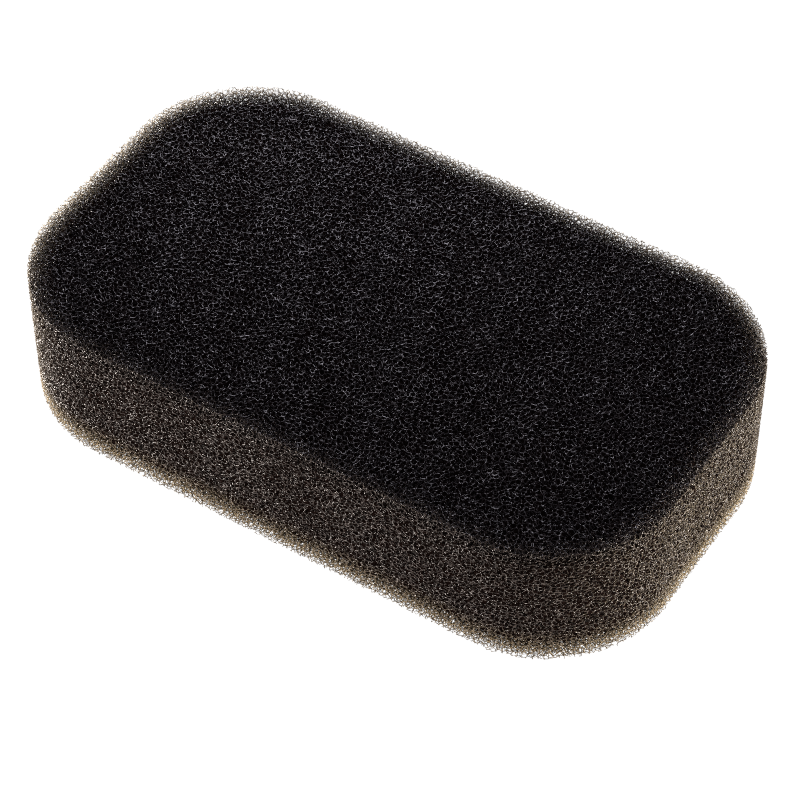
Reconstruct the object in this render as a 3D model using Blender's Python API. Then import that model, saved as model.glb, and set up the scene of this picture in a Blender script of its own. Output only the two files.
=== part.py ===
"""Filter foam pad: one die-cut block of open-cell (reticulated) polyurethane foam.

The block is a rounded rectangle in plan, cut square through the slab.
Frame: origin at the centre of the bottom face, +X along the length,
+Y along the width, +Z up through the thickness. Units are metres.
"""

import math

import bmesh
import bpy

# Block
LENGTH = 0.130          # along X
WIDTH = 0.076           # along Y
THICKNESS = 0.028       # along Z
CORNER_RADIUS = 0.025   # plan radius of the four corners
CORNER_STEPS = 20       # segments in each quarter turn

# Tiny relief where the die breaks the skin cells at the top and bottom rims
RIM_RELIEF = 0.0004
RIM_SEGMENTS = 2
RIM_PROFILE = 0.5       # round

SHARP_ANGLE = math.radians(30.0)   # edges that turn more than this shade as sharp
LEVEL_TOLERANCE = 1e-9             # height difference below which an edge is level

# Black, slightly brown foam
FOAM_COLOUR = (0.030, 0.025, 0.023, 1.0)
FOAM_ROUGHNESS = 0.85


def clear_scene():
    for old in list(bpy.data.objects):
        bpy.data.objects.remove(old, do_unlink=True)


def foam_material():
    material = bpy.data.materials.new("black_reticulated_foam")
    material.use_nodes = True
    shader = material.node_tree.nodes["Principled BSDF"]
    shader.inputs["Base Color"].default_value = FOAM_COLOUR
    shader.inputs["Roughness"].default_value = FOAM_ROUGHNESS
    shader.inputs["Metallic"].default_value = 0.0
    return material


def plan_outline(length, width, radius, steps):
    """Points of the rounded rectangle, anticlockwise from the +Y end of the +X side."""
    centre_x = length / 2 - radius
    centre_y = width / 2 - radius
    corners = (   # side in X, side in Y, start of the quarter turn in degrees
        (1, 1, 0.0),
        (-1, 1, 90.0),
        (-1, -1, 180.0),
        (1, -1, 270.0),
    )
    points = []
    for side_x, side_y, start in corners:
        for step in range(steps + 1):
            angle = math.radians(start + 90.0 * step / steps)
            x = side_x * centre_x + radius * math.cos(angle)
            y = side_y * centre_y + radius * math.sin(angle)
            points.append((x, y))
    return points


def extrude_outline(shape, outline, height):
    """Add the solid that stands on the outline at z = 0."""
    bottom = shape.faces.new([shape.verts.new((x, y, 0.0)) for x, y in outline])
    raised = bmesh.ops.extrude_face_region(shape, geom=[bottom])
    top_verts = [item for item in raised["geom"] if isinstance(item, bmesh.types.BMVert)]
    bmesh.ops.translate(shape, verts=top_verts, vec=(0.0, 0.0, height))
    bmesh.ops.recalc_face_normals(shape, faces=shape.faces)


def relieve_rims(shape):
    """Round over the level edges, which are the top and bottom rims."""
    rims = [
        edge for edge in shape.edges
        if abs(edge.verts[0].co.z - edge.verts[1].co.z) < LEVEL_TOLERANCE
    ]
    bmesh.ops.bevel(
        shape, geom=rims, offset=RIM_RELIEF, offset_type="OFFSET",
        segments=RIM_SEGMENTS, profile=RIM_PROFILE, affect="EDGES", clamp_overlap=True,
    )
    bmesh.ops.recalc_face_normals(shape, faces=shape.faces)


def foam_block_mesh():
    shape = bmesh.new()
    outline = plan_outline(LENGTH, WIDTH, CORNER_RADIUS, CORNER_STEPS)
    extrude_outline(shape, outline, THICKNESS)
    relieve_rims(shape)

    mesh = bpy.data.meshes.new("foam_block")
    shape.to_mesh(mesh)
    shape.free()
    mesh.shade_smooth()
    mesh.set_sharp_from_angle(angle=SHARP_ANGLE)
    return mesh


def main():
    clear_scene()
    block = bpy.data.objects.new("foam_block", foam_block_mesh())
    block.data.materials.append(foam_material())
    bpy.context.scene.collection.objects.link(block)


main()
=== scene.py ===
"""Looks of a filter foam pad: open-cell struts, modelled one by one, over a dark core.

The block is a flat box with rounded upright corners. Its long side runs along x,
its front faces -y and its top faces +z. It lies on a bright table, and the camera
looks down on it from the front right.
"""

import math
from itertools import product

import bmesh
import bpy
import numpy as np
from mathutils import Matrix, Vector, noise


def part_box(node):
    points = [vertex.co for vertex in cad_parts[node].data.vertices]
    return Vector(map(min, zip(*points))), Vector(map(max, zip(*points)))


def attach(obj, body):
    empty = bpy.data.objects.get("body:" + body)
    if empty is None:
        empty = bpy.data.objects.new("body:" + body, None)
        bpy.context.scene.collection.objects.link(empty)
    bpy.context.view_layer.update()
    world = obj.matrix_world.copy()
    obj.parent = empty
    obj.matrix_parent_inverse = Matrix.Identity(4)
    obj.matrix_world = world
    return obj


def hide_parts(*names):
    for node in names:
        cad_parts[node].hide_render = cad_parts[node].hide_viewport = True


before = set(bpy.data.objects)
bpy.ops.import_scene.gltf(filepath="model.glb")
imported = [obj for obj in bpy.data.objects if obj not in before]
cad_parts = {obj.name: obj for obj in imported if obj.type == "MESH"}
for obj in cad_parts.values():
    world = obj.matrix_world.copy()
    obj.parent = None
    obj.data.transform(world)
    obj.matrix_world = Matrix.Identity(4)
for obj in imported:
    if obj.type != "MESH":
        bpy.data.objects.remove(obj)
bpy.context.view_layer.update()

MM = 0.001

# The block
LOW, HIGH = (np.array(corner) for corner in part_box("foam_block"))
SIZE = HIGH - LOW
MIDDLE = (LOW + HIGH) / 2
CORNER_RADIUS = 0.3289 * SIZE[1]
FAR_WAY = np.array([-0.54, 0.84])  # level direction away from the camera

# The foam tile, measured in cubes that hold two cells each
TILE = 9                   # cubes along each side of the repeating tile
SCATTER = 0.50             # how far a cell centre first strays
PUSHES = 24                # how many times the centres then push each other apart
PUSH_REACH = 1.2           # centres nearer than this push each other
PUSH_STRENGTH = 0.35
NEIGHBOUR_REACH = 1.95     # cells further apart than this share no wall
NODE_JITTER = 0.05         # how far each joint strays by itself
STRUT = 0.080              # reach of a joint's corners from its middle

# How the tile lies in the block
CELL = 0.99 * MM           # edge of a cube
STRETCH = np.array([1.12, 1.12, 0.80])  # the cells lie a little flat, as foam cells set
TURN = np.array(
    Matrix.Rotation(math.radians(31), 3, "Z")
    @ Matrix.Rotation(math.radians(22), 3, "X")
    @ Matrix.Rotation(math.radians(13), 3, "Y")
)

# The modelled layer
SKIN = 0.84 * MM           # depth of open struts under the top and the sides
SKIN_UNDER = 0.54 * MM     # the same above the bottom face
PRESS_TOP = 0.70 * MM      # joints this near the top or bottom face are laid nearly flat in it
PRESS_SIDE = 0.82 * MM     # the same for the sides
PRESS_SHARE = 0.88         # how flat
RIM = 4.8 * MM             # reach of the see-through foam along the rims
CORE_GAP = 0.12 * MM       # how far the struts reach into the dark inside
OUTSIDE, OPEN, DARK = 0, 1, 2  # layers a joint can lie in


# ---------------------------------------------------------------- foam topology


def cube_grid(axis):
    """All whole-number places with coordinates from one axis."""
    return np.stack(np.meshgrid(axis, axis, axis, indexing="ij"), -1).reshape(-1, 3)


def cell_centres(rng):
    """Cell centres with no rows: scattered, then pushed apart until they sit evenly."""
    cubes = cube_grid(np.arange(TILE))
    centres = np.concatenate([cubes + 0.25, cubes + 0.75])
    centres = (centres + rng.uniform(-SCATTER, SCATTER, centres.shape)) % TILE
    for _ in range(PUSHES):
        away = centres[:, None] - centres[None]
        away -= TILE * np.round(away / TILE)
        distance = np.sqrt((away ** 2).sum(2)) + 1e-9
        push = np.clip(1 - distance / PUSH_REACH, 0, 1)
        np.fill_diagonal(push, 0)
        step = ((push / distance)[:, :, None] * away).sum(1)
        centres = (centres + PUSH_STRENGTH * step) % TILE
    return centres


def hull_triangles(points):
    """Triangles (as rows of indices) of the convex hull of a few dozen points."""
    hull = bmesh.new()
    for point in points:
        hull.verts.new(point)
    hull.verts.index_update()
    bmesh.ops.convex_hull(hull, input=hull.verts[:], use_existing_faces=False)
    rows = [[vertex.index for vertex in face.verts] for face in hull.faces]
    hull.free()
    return rows


def corner_cells(centres):
    """Every joint of the foam as the four cells that meet there, and their tile copies.

    Each cell's walls lie half way to its neighbours. The hull of the inverse
    neighbour positions has one triangle for each corner of the cell.
    """
    found_cells, found_offsets = [], []
    for i, centre in enumerate(centres):
        away = centres - centre
        offset = -np.round(away / TILE).astype(int)
        away = away + offset * TILE
        squared = (away ** 2).sum(1)
        near = np.flatnonzero((squared > 1e-9) & (squared < NEIGHBOUR_REACH ** 2))
        inverse = 2 * away[near] / squared[near, None]
        for row in hull_triangles(inverse):
            ids = near[row]
            found_cells.append([i, *ids])
            found_offsets.append([(0, 0, 0), *map(tuple, offset[ids])])
    return np.array(found_cells), np.array(found_offsets)


def unique_rows(rows):
    """First index of each distinct row, which distinct row each one is, and the counts."""
    _, first, inverse, counts = np.unique(
        rows, axis=0, return_index=True, return_inverse=True, return_counts=True
    )
    return first, inverse.reshape(-1), counts


def canonical(cells, offsets):
    """Cells in rising order, seen from the first one's copy of the tile."""
    order = np.argsort(cells, axis=1, kind="stable")
    cells = np.take_along_axis(cells, order, 1)
    offsets = np.take_along_axis(offsets, order[:, :, None], 1)
    return cells, offsets - offsets[:, :1]


# The three cells round a strut, for each cell of the joint that it leaves out
TRIPLES = np.array([[cell for cell in range(4) if cell != skip] for skip in range(4)])


class Foam:
    """One periodic tile: joints where four cells meet, and the struts between them.

    A joint has one corner towards each of its four cells. The strut that leaves
    out a cell starts from the triangle of the other three corners, so struts
    and joints close into one surface with no lid between them.
    """

    def __init__(self, seed):
        centres = cell_centres(np.random.default_rng(seed))
        cells, offsets = canonical(*corner_cells(centres))
        keys = np.concatenate([cells, offsets.reshape(len(cells), -1)], 1)
        first, _, counts = unique_rows(keys)
        first = first[counts == 4]
        self.cells, self.offsets = cells[first], offsets[first]
        self.count = len(first)

        # A joint lies equally far from its four cell centres
        around = centres[self.cells] + self.offsets * TILE
        away = 2 * (around[:, 1:] - around[:, :1])
        rise = (around[:, 1:] ** 2).sum(2) - (around[:, :1] ** 2).sum(2)
        self.places = np.linalg.solve(away, rise[:, :, None])[:, :, 0]
        self._struts()
        self._corners()

    def _struts(self):
        """Pair up the joints that share three cells."""
        keys, bases, owners, skips = [], [], [], []
        for skip, triple in enumerate(TRIPLES):
            base, second, third = (self.offsets[:, cell] for cell in triple)
            keys.append(np.concatenate([self.cells[:, triple], second - base, third - base], 1))
            bases.append(base)
            owners.append(np.arange(self.count))
            skips.append(np.full(self.count, skip))
        keys, bases = np.concatenate(keys), np.concatenate(bases)
        owners, skips = np.concatenate(owners), np.concatenate(skips)
        _, inverse, counts = unique_rows(keys)
        order = np.argsort(inverse, kind="stable")
        order = order[counts[inverse[order]] == 2].reshape(-1, 2)
        one, two = order[:, 0], order[:, 1]
        self.strut_nodes = np.stack([owners[one], owners[two]], 1)
        self.strut_skips = np.stack([skips[one], skips[two]], 1)
        self.strut_step = bases[one] - bases[two]  # tile copy of the second joint
        far = self.places[owners[two]] + self.strut_step * TILE
        self.run = far - self.places[owners[one]]

    def _corners(self):
        """Unit directions of each joint's corners: away from the strut on the far side."""
        evening = 0.6  # keeps two struts at a sharp angle from flattening the joint
        ways = np.zeros((self.count, 4, 3))
        length = np.linalg.norm(self.run, axis=1, keepdims=True)
        unit = self.run / np.maximum(length, 1e-9)
        ways[self.strut_nodes[:, 0], self.strut_skips[:, 0]] = -unit
        ways[self.strut_nodes[:, 1], self.strut_skips[:, 1]] = unit
        # the shortest strut at a joint limits how wide the joint may be
        self.room = np.full(self.count, 9.0)
        for end in (0, 1):
            np.minimum.at(self.room, self.strut_nodes[:, end], length[:, 0])
        ways -= evening * ways.mean(1, keepdims=True)
        self.ways = ways / np.maximum(np.linalg.norm(ways, axis=2, keepdims=True), 1e-9)


# ---------------------------------------------------------------- block shape


def ramp(distance, reach):
    """Rises from 0 to 1 over the reach."""
    return np.clip(distance / reach, 0, 1)


def fade(distance, reach, start=1):
    """Falls by 1 over the reach from the start, kept between 0 and 1."""
    return np.clip(start - distance / reach, 0, 1)


def outline_gap(points):
    """Distance in from the block's side, positive inside, and the side's outward direction."""
    half = SIZE[:2] / 2 - CORNER_RADIUS
    local = points[..., :2] - MIDDLE[:2]
    beyond = np.abs(local) - half
    outside = np.maximum(beyond, 0)
    length = np.linalg.norm(outside, axis=-1)
    gap = CORNER_RADIUS - (length + np.minimum(beyond.max(-1), 0))
    sign = np.where(local < 0, -1.0, 1.0)
    round_out = outside / np.maximum(length, 1e-9)[..., None]
    flat_out = np.stack([beyond[..., 0] >= beyond[..., 1], beyond[..., 0] < beyond[..., 1]], -1)
    out = np.where((length > 1e-9)[..., None], round_out, flat_out) * sign
    return gap, out


def levels(points):
    """Height over the bottom face, and depth under the top face."""
    return points[..., 2] - LOW[2], HIGH[2] - points[..., 2]


def depth(points):
    """Distance in from the block's nearest face, positive inside."""
    return np.minimum(outline_gap(points)[0], np.minimum(*levels(points)))


def far_share(out):
    """1 on sides that face away from the camera, 0 on those that face it."""
    return np.clip(0.5 + out @ FAR_WAY, 0, 1)


def layer(points):
    """Outside the block, in the foam modelled strut by strut, or in the dark inside."""
    gap, _ = outline_gap(points)
    under, over = levels(points)
    open_foam = (
        (np.minimum(gap, over) < SKIN)
        | (under < SKIN_UNDER)
        | (gap + np.minimum(under, over) < RIM)
    )
    inside = np.where(open_foam, OPEN, DARK)
    return np.where(depth(points) < 0, OUTSIDE, inside).astype(np.int8)


def girth(points):
    """How thick a joint is beside the usual: full on the cut faces, finer below and at rims."""
    rim_reach, face_reach = 3.5 * MM, 0.42 * MM
    gap, out = outline_gap(points)
    under, over = levels(points)
    level = np.minimum(under, over)
    inner = ramp(gap + level, RIM) ** 1.5
    crown = far_share(out) * fade(gap + over, rim_reach)
    foot = fade(gap + under, rim_reach)
    face = np.exp(-np.maximum(np.minimum(gap, level), 0) / face_reach)
    return 1 + inner * (0.06 + 0.48 * face) - 0.24 * foot - 0.26 * crown


def pressed(points):
    """The joints next to a cut face laid almost flat in it, but not along the loose rims."""
    loose_reach, loose_start = 3.0 * MM, 1.2
    gap, out = outline_gap(points)
    under, over = levels(points)
    loose = np.maximum(
        fade(gap + under, loose_reach, loose_start),
        far_share(out) * fade(gap + over, loose_reach, loose_start),
    )

    def push(inward, within):
        inside = np.maximum(inward, 0)
        laid = np.where(inside < within, inside ** 2 / within, inside)
        return PRESS_SHARE * (1 - loose) * (inward - laid)

    moved = points.copy()
    moved[:, :2] += out * push(gap, PRESS_SIDE)[:, None]
    moved[:, 2] += push(over, PRESS_TOP) - push(under, PRESS_TOP)
    return moved


DRIFT_SHARE = 0.036  # swing of a wave beside its length
DRIFT_WAVES = [
    # length in mm, direction it runs in, direction it pushes in, phase
    (19.0, (0.8, 0.5, 0.3), (0.30, -0.5, 0.75), 0.4),
    (14.0, (-0.4, 0.9, 0.2), (0.7, 0.35, -0.4), 1.9),
    (11.0, (0.3, -0.5, 0.8), (-0.45, 0.65, 0.3), 3.3),
    (8.5, (0.7, 0.2, -0.7), (0.2, 0.5, 0.6), 5.1),
]


def drift(points):
    """Slow wander of the foam, as it sets in the slab, so that no row runs straight."""
    out = np.zeros_like(points)
    for length, way, push, phase in DRIFT_WAVES:
        way = np.array(way) / np.linalg.norm(way)
        swing = np.sin(points @ way * (2 * math.pi / (length * MM)) + phase)
        out += swing[..., None] * np.array(push) * (DRIFT_SHARE * length * MM)
    return out


# ---------------------------------------------------------------- strut network


def in_block(points):
    """Points of the upright foam, in metres, as they lie in the block."""
    return points @ TURN.T * STRETCH + MIDDLE


def tile_copies():
    """The tile copies that reach the open layer, their numbers in a grid, and its shift."""
    stray_room = 2.5 * MM  # for joints that drift out of their tile
    pitch = TILE * CELL
    number = int(math.ceil((np.linalg.norm(SIZE / STRETCH) / 2 + pitch) / pitch))
    copies = cube_grid(np.arange(-number, number + 1))
    centre = in_block((copies + 0.5) * pitch)
    radius = pitch * math.sqrt(3) / 2 * STRETCH.max() + stray_room
    gap, _ = outline_gap(centre)
    level = np.minimum(*levels(centre))
    near = np.minimum(gap, level)
    reaches_layer = (near < SKIN + radius) | (gap + level < RIM + radius * 1.5)
    copies = copies[(near > -radius) & reaches_layer]
    shift = number + 1
    lookup = np.full((2 * shift + 1,) * 3, -1)
    lookup[tuple((copies + shift).T)] = np.arange(len(copies))
    return copies, lookup, shift


def shape_joints(foam, places, local, rng):
    """Middles and corners of the open joints; local is each one's number in the tile."""
    full_jitter_room = 0.3  # joints with shorter struts, in cubes, stray less
    strays = rng.normal(0, NODE_JITTER, (len(local), 3)).clip(-2 * NODE_JITTER, 2 * NODE_JITTER)
    strays *= np.minimum(1.0, foam.room[local] / full_jitter_room)[:, None]
    joints = pressed(places + strays * CELL)
    width = STRUT * rng.uniform(0.85, 1.15, len(local)) * girth(joints)
    width = np.minimum(width, 0.5 * foam.room[local] + 0.035)
    corners = joints[:, None] + foam.ways[local] @ TURN.T * (width * CELL)[:, None, None]
    return joints, corners.reshape(-1, 3)


def faces_against(vertices, triangles, way):
    """Which triangles face against the way given for each."""
    points = vertices[triangles]
    normal = np.cross(points[:, 1] - points[:, 0], points[:, 2] - points[:, 0])
    return (normal * way).sum(1) < 0


def strut_walls(vertices, start, end):
    """The three sides of each strut, facing out, and whether they had to be turned round."""
    sides = []
    for i, j in ((0, 1), (1, 2), (2, 0)):
        sides.append(np.stack([start[:, i], start[:, j], end[:, j]], 1))
        sides.append(np.stack([start[:, i], end[:, j], end[:, i]], 1))
    sides = np.stack(sides, 1)
    run = vertices[end].mean(1) - vertices[start].mean(1)
    wrong = faces_against(vertices, start, run)
    sides[wrong] = sides[wrong][:, :, ::-1]
    return sides.reshape(-1, 3), wrong


def build_network(foam, rng):
    """Vertices and triangles of all the struts, each triangle's joint, and the joints."""
    copies, lookup, shift = tile_copies()
    places = in_block(((foam.places[None] + copies[:, None] * TILE) * CELL).reshape(-1, 3))
    places += drift(places)
    state = layer(places)
    shell = np.flatnonzero(state == OPEN)
    rank = np.full(len(places), -1, np.int32)
    rank[shell] = np.arange(len(shell))
    joints, vertices = shape_joints(foam, places[shell], shell % foam.count, rng)

    def root_corners(joint, skip):
        return rank[joint][:, None] * 4 + TRIPLES[skip]

    # Struts, as pairs of joints
    copy_of = np.repeat(np.arange(len(copies)), len(foam.strut_nodes))
    strut = np.tile(np.arange(len(foam.strut_nodes)), len(copies))
    first = copy_of * foam.count + foam.strut_nodes[strut, 0]
    other = lookup[tuple((copies[copy_of] + foam.strut_step[strut] + shift).T)]
    known = other >= 0
    second = np.where(known, other * foam.count + foam.strut_nodes[strut, 1], -1)
    keep = known & ((state[first] == OPEN) | (state[second] == OPEN))
    strut, first, second = strut[keep], first[keep], second[keep]
    first_layer, second_layer = state[first], state[second]
    first_skip, second_skip = foam.strut_skips[strut].T

    # A strut between two open joints
    whole = (first_layer == OPEN) & (second_layer == OPEN)
    whole_start = root_corners(first[whole], first_skip[whole])
    whole_end = root_corners(second[whole], second_skip[whole])
    whole_owner = rank[first[whole]]

    # A strut that leaves through the cut face stops flush with it
    cut = (first_layer == OUTSIDE) | (second_layer == OUTSIDE)
    flip = first_layer[cut] == OUTSIDE
    root = np.where(flip, second[cut], first[cut])
    root_skip = np.where(flip, second_skip[cut], first_skip[cut])
    tip = np.where(flip, first[cut], second[cut])
    tip_skip = np.where(flip, first_skip[cut], second_skip[cut])
    cut_start = root_corners(root, root_skip)
    tip_ways = foam.ways[(tip % foam.count)[:, None], TRIPLES[tip_skip]] @ TURN.T
    ends = places[tip][:, None] + tip_ways * (STRUT * CELL)
    starts = vertices[cut_start]
    inside, outside = depth(starts), depth(ends)
    share = np.clip(inside / np.maximum(inside - outside, 1e-9), 0.04, 1.0)
    cut_points = starts + (ends - starts) * share[:, :, None]
    cut_end = len(vertices) + np.arange(len(cut_points) * 3).reshape(-1, 3)
    vertices = np.concatenate([vertices, cut_points.reshape(-1, 3)])
    cut_owner = rank[root]

    # A strut that would go on into the dark inside is closed off at its joint
    open_side = np.ones((len(shell), 4), bool)
    open_side[whole_owner, first_skip[whole]] = False
    open_side[rank[second[whole]], second_skip[whole]] = False
    open_side[cut_owner, root_skip] = False
    lid_owner, lid_skip = np.nonzero(open_side)
    lids = lid_owner[:, None] * 4 + TRIPLES[lid_skip]

    walls, _ = strut_walls(vertices, whole_start, whole_end)
    cut_walls, wrong = strut_walls(vertices, cut_start, cut_end)
    caps = cut_end.copy()
    caps[wrong] = caps[wrong][:, ::-1]
    wrong = faces_against(vertices, lids, vertices[lids].mean(1) - joints[lid_owner])
    lids[wrong] = lids[wrong][:, ::-1]

    faces = np.concatenate([walls, cut_walls, caps, lids])
    owners = np.concatenate(
        [np.repeat(whole_owner, 6), np.repeat(cut_owner, 6), cut_owner, lid_owner]
    )
    return vertices, faces, owners, joints


# ---------------------------------------------------------------- meshes


def unfolded(points, upward):
    """The block opened flat like a box: the sides folded out round the top or the bottom."""
    _, out = outline_gap(points)
    under, over = levels(points)
    drop = over if upward else under
    return points[:, :2] - MIDDLE[:2] + out * np.maximum(drop, 0)[:, None]


def light_in(points):
    """Shares from 0 to 1 that steer the strut material, by attribute name.

    rim_glow is where light comes through, foot_glow where it does so low on the
    block or on a side, and where the base colour is lightened as a painted glow,
    the depth share what lies deep and is darkened as painted shade, and side what
    belongs to a side.
    """
    gap, out = outline_gap(points)
    under, over = levels(points)
    left = np.maximum(-out[:, 0], 0) ** 2
    # along the bottom rim, weaker at its very edge; the base colour here is lightened as a painted
    # glow of the table light coming through
    rise = 0.35 + 0.65 * ramp(gap + under, 2.4 * MM)
    foot = rise * fade(gap, 4.6 * MM) * fade(under, 8.5 * MM) ** 1.2
    # along the top rim, stronger at the far side and deeper on the left
    behind = 0.12 + 0.62 * far_share(out)
    fringe = 0.62 + 0.38 * ramp(gap, 1.1 * MM)
    reach = (5.5 + 1.4 * left) * MM
    head = behind * fringe * fade(gap, reach) ** 1.1 * fade(over, 6.0 * MM) ** 1.4
    # on the sides, mostly the two ends and most on the left where the lamps fall; part of it
    # lightens the base colour as a painted glow
    wall = (0.07 + 0.32 * out[:, 0] ** 2 + 0.38 * left) * fade(gap, 0.6 * MM)
    # a narrow line on the top rim, at the front and the left
    front_left = np.clip(0.3 - out[:, 0] - out[:, 1], 0, 1)
    edge = 0.30 * fade(gap + over, 0.8 * MM) * front_left
    return {
        "rim_glow": np.maximum.reduce([foot, head, wall, edge]),
        # painted glow: the base colour goes lighter along the bottom rim and, less, on the ends
        "foot_glow": np.maximum(foot, 0.22 * wall),
        # painted shade: struts deeper in under the sides and the top go darker and lose their
        # gloss
        "painted_depth_shade": ramp(gap / MM - 0.14, 0.50) * ramp(over / MM - 0.6, 1.2) * (1 - foot),
        "side": fade(gap, MM, 1.4) * np.clip(over / MM - 0.2, 0, 1),
    }


def mesh_object(name, vertices, faces, upward):
    """A smooth triangle mesh with the light attributes and an unfolded UV map."""
    mesh = bpy.data.meshes.new(name)
    mesh.vertices.add(len(vertices))
    mesh.vertices.foreach_set("co", np.ascontiguousarray(vertices, np.float32).ravel())
    mesh.loops.add(faces.size)
    mesh.loops.foreach_set("vertex_index", np.ascontiguousarray(faces, np.int32).ravel())
    mesh.polygons.add(len(faces))
    mesh.polygons.foreach_set("loop_start", np.arange(0, faces.size, 3, dtype=np.int32))
    mesh.polygons.foreach_set("loop_total", np.full(len(faces), 3, np.int32))
    mesh.update(calc_edges=True)
    mesh.shade_smooth()
    for attribute, values in light_in(vertices).items():
        share = mesh.attributes.new(attribute, "FLOAT", "POINT")
        share.data.foreach_set("value", values.astype(np.float32))
    flat = unfolded(vertices, upward)
    low, high = flat.min(0), flat.max(0)
    flat = 0.02 + 0.96 * (flat - low) / (high - low).max()  # a margin of 0.02 all round
    unwrap = mesh.uv_layers.new(name="OFBake")
    unwrap.data.foreach_set("uv", np.ascontiguousarray(flat[faces.ravel()], np.float32).ravel())
    piece = bpy.data.objects.new(name, mesh)
    bpy.context.scene.collection.objects.link(piece)
    return piece


def finish_piece(piece, material):
    piece.data.materials.append(material)
    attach(piece, "root")
    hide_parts("foam_block")


# ---------------------------------------------------------------- materials


def add_node(tree, kind, inputs, **settings):
    """A new node; each input is given as a socket to link from or as a plain value."""
    node = tree.nodes.new(kind)
    for key, value in settings.items():
        setattr(node, key, value)
    for key, value in inputs.items():
        if isinstance(value, bpy.types.NodeSocket):
            tree.links.new(value, node.inputs[key])
        else:
            node.inputs[key].default_value = value
    return node


def attribute_share(tree, name):
    return add_node(tree, "ShaderNodeAttribute", {}, attribute_name=name).outputs["Fac"]


def mix_colours(tree, share, one, two):
    inputs = {"Factor": share, "A": one, "B": two}
    return add_node(tree, "ShaderNodeMix", inputs, data_type="RGBA").outputs["Result"]


def mix_shaders(tree, share, one, two):
    return add_node(tree, "ShaderNodeMixShader", {0: share, 1: one, 2: two}).outputs[0]


def scaled(tree, value, factor, plus):
    inputs = {0: value, 1: factor, 2: plus}
    return add_node(tree, "ShaderNodeMath", inputs, operation="MULTIPLY_ADD").outputs[0]


def polymer(name, dark, light, roughness, grain, shine):
    """Dark polymer whose colour and roughness vary from place to place."""
    material = bpy.data.materials.new(name)
    material.use_nodes = True
    tree = material.node_tree
    shader = tree.nodes["Principled BSDF"]
    shader.inputs["IOR"].default_value = 1.5
    shader.inputs["Specular IOR Level"].default_value = shine
    place = add_node(tree, "ShaderNodeTexCoord", {}).outputs["Object"]
    fine = add_node(
        tree, "ShaderNodeTexNoise", {"Scale": 1.0 / grain, "Detail": 3.0, "Vector": place}
    ).outputs["Fac"]
    blend = add_node(tree, "ShaderNodeValToRGB", {"Fac": fine})
    stops = blend.color_ramp.elements
    for stop, position, colour in zip(stops, (0.35, 0.68), (dark, light)):
        stop.position = position
        stop.color = (*colour, 1)
    tree.links.new(blend.outputs["Color"], shader.inputs["Base Color"])
    limits = {"Value": fine, "To Min": roughness[0], "To Max": roughness[1]}
    rough = add_node(tree, "ShaderNodeMapRange", limits)
    tree.links.new(rough.outputs["Result"], shader.inputs["Roughness"])
    return material, shader, blend.outputs["Color"], rough.outputs["Result"]


def foam_struts():
    """Glossy struts that let light through along the rims, with a painted glow in the base colour
    along the bottom rim and the ends, and painted shade where they lie deep.
    """
    dark = (0.012, 0.0088, 0.0084)
    # painted glow: the lighter base colour for the bottom rim and the ends
    painted_glow_colour = (0.195, 0.155, 0.102, 1)
    through_colour, through_foot_colour = (0.84, 0.775, 0.65, 1), (0.85, 0.765, 0.58, 1)
    side_roughness = 0.02                 # added on the sides
    through_gain, through_least = 0.74, 0.03  # share of light let through
    painted_shade_most = 0.88                      # share of the dark diffuse shader, painted shade, where deep
    painted_shade_colour = (*(0.35 * c for c in dark), 1)

    material, shader, colour, rough = polymer(
        "foam_struts", dark=dark, light=(0.032, 0.0232, 0.0212),
        roughness=(0.23, 0.40), grain=1.6 * MM, shine=0.5,
    )
    tree = material.node_tree
    glow = attribute_share(tree, "rim_glow")
    foot = attribute_share(tree, "foot_glow")
    # painted glow in the base colour along the bottom rim and on the ends
    tree.links.new(mix_colours(tree, foot, colour, painted_glow_colour), shader.inputs["Base Color"])
    worn = scaled(tree, attribute_share(tree, "side"), side_roughness, rough)
    tree.links.new(worn, shader.inputs["Roughness"])

    tint = mix_colours(tree, foot, through_colour, through_foot_colour)
    through = add_node(tree, "ShaderNodeBsdfTranslucent", {"Color": tint}).outputs[0]
    share = scaled(tree, glow, through_gain, through_least)
    both = mix_shaders(tree, share, shader.outputs[0], through)
    # painted shade: deep struts mixed towards a dark diffuse shader
    deep = {0: attribute_share(tree, "painted_depth_shade"), 1: painted_shade_most}
    shade_share = add_node(tree, "ShaderNodeMath", deep, operation="MULTIPLY").outputs[0]
    shade_shader = add_node(tree, "ShaderNodeBsdfDiffuse", {"Color": painted_shade_colour}).outputs[0]
    surface = mix_shaders(tree, shade_share, both, shade_shader)
    tree.links.new(surface, tree.nodes["Material Output"].inputs["Surface"])
    return material


def foam_inside_painted_shade():
    # the inside's colour is partly the foam's own black and partly painted shade of the deeper
    # foam, darker than the struts
    return polymer(
        "foam_inside_painted_shade", dark=(0.0042, 0.0025, 0.0022), light=(0.0120, 0.0071, 0.0060),
        roughness=(0.8, 0.95), grain=0.5 * MM, shine=0.0,
    )[0]


# ---------------------------------------------------------------- struts

foam = Foam(seed=3)
vertices, faces, owners, joints = build_network(foam, np.random.default_rng(11))
strut_material = foam_struts()
core_material = foam_inside_painted_shade()

# The network is parted into pieces by level, by side and by column along x
LEVELS, SIDES, COLUMNS = ("lower", "upper"), ("front", "back"), 9


def part_of(axis, count):
    """Which of so many equal parts of the block along an axis each joint is in."""
    share = (joints[:, axis] - LOW[axis]) / SIZE[axis]
    return np.clip((share * count).astype(int), 0, count - 1)


upper = joints[:, 2] > MIDDLE[2]
region = (upper * len(SIDES) + part_of(1, len(SIDES))) * COLUMNS + part_of(0, COLUMNS)
face_region = region[owners]
parts = product(LEVELS, SIDES, range(1, COLUMNS + 1))
for index, (level, side, column) in enumerate(parts):
    chosen = faces[face_region == index]
    used, compact = np.unique(chosen, return_inverse=True)
    name = f"struts_{level}_{side}_{column}"
    piece = mesh_object(name, vertices[used], compact.reshape(-1, 3), level == "upper")
    finish_piece(piece, strut_material)


# ---------------------------------------------------------------- dark inside, its darkness partly painted shade


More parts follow.
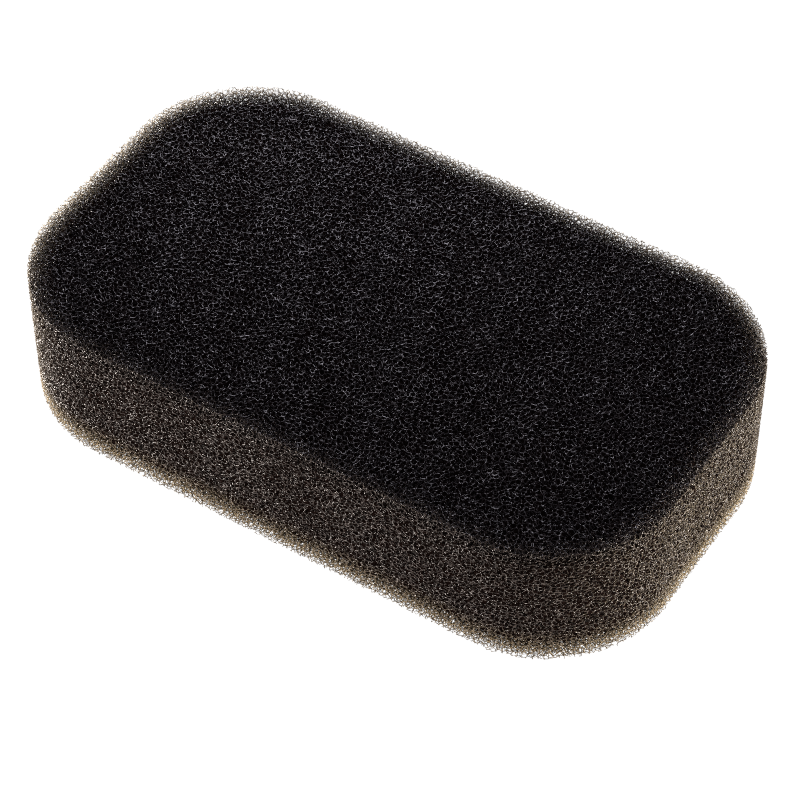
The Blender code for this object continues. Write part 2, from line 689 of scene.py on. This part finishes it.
def core_outline():
    """The block's outline: middle of the corner arc (x, y) and outward direction (x, y)."""
    half = SIZE[:2] / 2 - CORNER_RADIUS
    arc_steps, straight_steps = 38, (64, 34)  # straights along x, along y
    corners = (((1, 1), 0), ((-1, 1), 90), ((-1, -1), 180), ((1, -1), 270))
    outline = []
    for i, ((side_x, side_y), start) in enumerate(corners):
        x, y = side_x * half[0], side_y * half[1]
        for j in range(arc_steps):
            angle = math.radians(start + 90 * j / arc_steps)
            outline.append((x, y, math.cos(angle), math.sin(angle)))
        angle = math.radians(start + 90)
        steps = straight_steps[i % 2]
        for j in range(steps):
            share = 1 - 2 * j / steps
            place = (x * share, y) if i % 2 == 0 else (x, y * share)
            outline.append((*place, math.cos(angle), math.sin(angle)))
    return np.array(outline)


def core_profile():
    """Rings from the middle of the bottom to that of the top: height, inset, share of width."""
    side, under = SKIN - CORE_GAP, SKIN_UNDER - CORE_GAP
    corners = (
        (LOW[2] + under, RIM - under),
        (LOW[2] + RIM - side, side),
        (HIGH[2] - RIM + side, side),
        (HIGH[2] - side, RIM - side),
    )
    lid_steps = 36
    lid = [1 - k / lid_steps for k in range(1, lid_steps)]
    profile = [(*corners[0], share) for share in lid[::-1]]
    for (z0, inset0), (z1, inset1), steps in zip(corners, corners[1:], (9, 34, 9)):
        for k in range(steps):
            z = z0 + (z1 - z0) * k / steps
            profile.append((z, inset0 + (inset1 - inset0) * k / steps, 1.0))
    return profile + [(*corners[-1], share) for share in [1.0, *lid]]


def build_core():
    """The block drawn in under its struts, chamfered along the rims and pitted all over. Its dark
    colour is partly the foam's own black and partly painted shade of the deeper foam.
    """
    pit_size = 1.5 * MM
    outline, profile = core_outline(), core_profile()
    rings = []
    for z, inset, share in profile:
        flat = (outline[:, :2] + (CORNER_RADIUS - inset) * outline[:, 2:]) * share
        rings.append(np.column_stack([flat + MIDDLE[:2], np.full(len(flat), z)]))
    poles = [[[*MIDDLE[:2], profile[end][0]]] for end in (0, -1)]
    points = np.concatenate([*rings, *poles])
    # pits and lumps about as deep as half a cell, pushed out from the middle
    lift = np.array([noise.voronoi(Vector(p * (1 / pit_size)))[0][0] for p in points])
    reach = np.linalg.norm(points - MIDDLE, axis=1)[:, None]
    push = ((0.45 - lift) * 0.9 * MM).clip(-0.25 * MM, 0.40 * MM)
    points += (points - MIDDLE) / reach * push[:, None]

    count, ring_count = len(outline), len(rings)
    ring = np.arange(count)
    after = (ring + 1) % count
    core_faces = []
    for k in range(ring_count - 1):
        low, high = k * count, (k + 1) * count
        core_faces.append(np.stack([low + ring, low + after, high + after], 1))
        core_faces.append(np.stack([low + ring, high + after, high + ring], 1))
    bottom_pole = ring_count * count
    last = bottom_pole - count
    core_faces.append(np.stack([after, ring, np.full(count, bottom_pole)], 1))
    core_faces.append(np.stack([last + ring, last + after, np.full(count, bottom_pole + 1)], 1))
    return mesh_object("foam_inside_painted_shade", points, np.concatenate(core_faces), True)


finish_piece(build_core(), core_material)

# ---------------------------------------------------------------- studio


def seen_or_lit(tree, output, kind, seen, lamp):
    """One emitter for what the camera sees, and another for the light cast on the block."""
    tree.nodes.clear()
    out = tree.nodes.new(output)
    path = add_node(tree, "ShaderNodeLightPath", {}).outputs["Is Camera Ray"]
    seen = add_node(tree, kind, seen).outputs[0]
    lamp = add_node(tree, kind, lamp).outputs[0]
    tree.links.new(mix_shaders(tree, path, lamp, seen), out.inputs[0])


def build_table():
    """A table lit from below: plain white to look at, a soft warm light on the block."""
    span = 3.0
    corners = [(-span, -span, 0), (span, -span, 0), (span, span, 0), (-span, span, 0)]
    mesh = bpy.data.meshes.new("floor")
    mesh.from_pydata(corners, [], [(0, 1, 2, 3)])
    floor = bpy.data.objects.new("floor", mesh)
    floor.location.z = float(LOW[2]) - 0.2 * MM
    bpy.context.scene.collection.objects.link(floor)
    material = bpy.data.materials.new("white_table")
    material.use_nodes = True
    seen_or_lit(
        material.node_tree, "ShaderNodeOutputMaterial", "ShaderNodeEmission",
        seen={"Strength": 1.02},
        lamp={"Color": (1.0, 0.88, 0.80, 1), "Strength": 1.6},
    )
    mesh.materials.append(material)


def build_world():
    """White to look at, a dim cool light on the block."""
    world = bpy.data.worlds.new("studio")
    bpy.context.scene.world = world
    world.use_nodes = True
    seen_or_lit(
        world.node_tree, "ShaderNodeOutputWorld", "ShaderNodeBackground",
        seen={"Color": (1, 1, 1, 1)},
        lamp={"Color": (0.88, 0.84, 1.0, 1), "Strength": 0.32},
    )


def softbox(name, way, distance, size, radiance, colour):
    """A flat lamp that faces the block from a direction, evenly bright, hidden from the camera."""
    light = bpy.data.lights.new(name, "AREA")
    light.shape = "RECTANGLE"
    wide, high = size
    light.size, light.size_y = wide, high
    light.energy = radiance * math.pi * wide * high
    light.color = colour
    lamp = bpy.data.objects.new(name, light)
    way = Vector(way).normalized()
    lamp.location = Vector(MIDDLE) + way * distance
    lamp.rotation_euler = (-way).to_track_quat("-Z", "Y").to_euler()
    lamp.visible_camera = False
    bpy.context.scene.collection.objects.link(lamp)


build_table()
build_world()
softbox("key_back", way=(-0.54, 0.77, 0.38), distance=0.165, size=(0.14, 0.07),
        radiance=8.8, colour=(0.92, 0.89, 1.0))
softbox("left_low", way=(-1.0, -0.09, 0.0), distance=0.28, size=(0.55, 0.025),
        radiance=132.0, colour=(1.0, 0.925, 0.855))
softbox("right_low", way=(0.95, 0.31, 0.0), distance=0.28, size=(0.50, 0.025),
        radiance=86.0, colour=(1.0, 0.925, 0.835))
softbox("back_low", way=(-0.35, 0.94, 0.0), distance=0.28, size=(0.40, 0.025),
        radiance=16.0, colour=(1.0, 0.96, 0.92))
softbox("front_low", way=(-0.05, -1.0, 0.0), distance=0.30, size=(0.30, 0.025),
        radiance=10.0, colour=(1.0, 0.79, 0.69))

# ---------------------------------------------------------------- camera

AZIMUTH, ELEVATION, ROLL = math.radians(32.92), math.radians(48.08), math.radians(-0.206)
DISTANCE = 7.283 * SIZE[1]
AIM = Vector((MIDDLE[0] + 0.0860 * SIZE[1], MIDDLE[1] - 0.1027 * SIZE[1], MIDDLE[2]))


def build_camera():
    """A long lens on the aim point, turned a little about its own axis."""
    data = bpy.data.cameras.new("camera")
    data.sensor_width = 36.0
    data.lens = 139.419
    camera = bpy.data.objects.new("camera", data)
    back = Vector((
        math.sin(AZIMUTH) * math.cos(ELEVATION),
        -math.cos(AZIMUTH) * math.cos(ELEVATION),
        math.sin(ELEVATION),
    ))
    right = back.cross(Vector((0, 0, 1))).normalized() * -1
    up = back.cross(right).normalized()
    pose = Matrix.Identity(4)
    pose.col[0][:3] = math.cos(ROLL) * right + math.sin(ROLL) * up
    pose.col[1][:3] = -math.sin(ROLL) * right + math.cos(ROLL) * up
    pose.col[2][:3] = back
    pose.col[3][:3] = AIM + back * DISTANCE
    camera.matrix_world = pose
    bpy.context.scene.collection.objects.link(camera)
    bpy.context.scene.camera = camera


build_camera()

scene = bpy.context.scene
scene.view_settings.view_transform = "Standard"
scene.view_settings.look = "None"
scene.cycles.use_denoising = False
scene.cycles.pixel_filter_type = "BLACKMAN_HARRIS"
scene.cycles.filter_width = 1.1
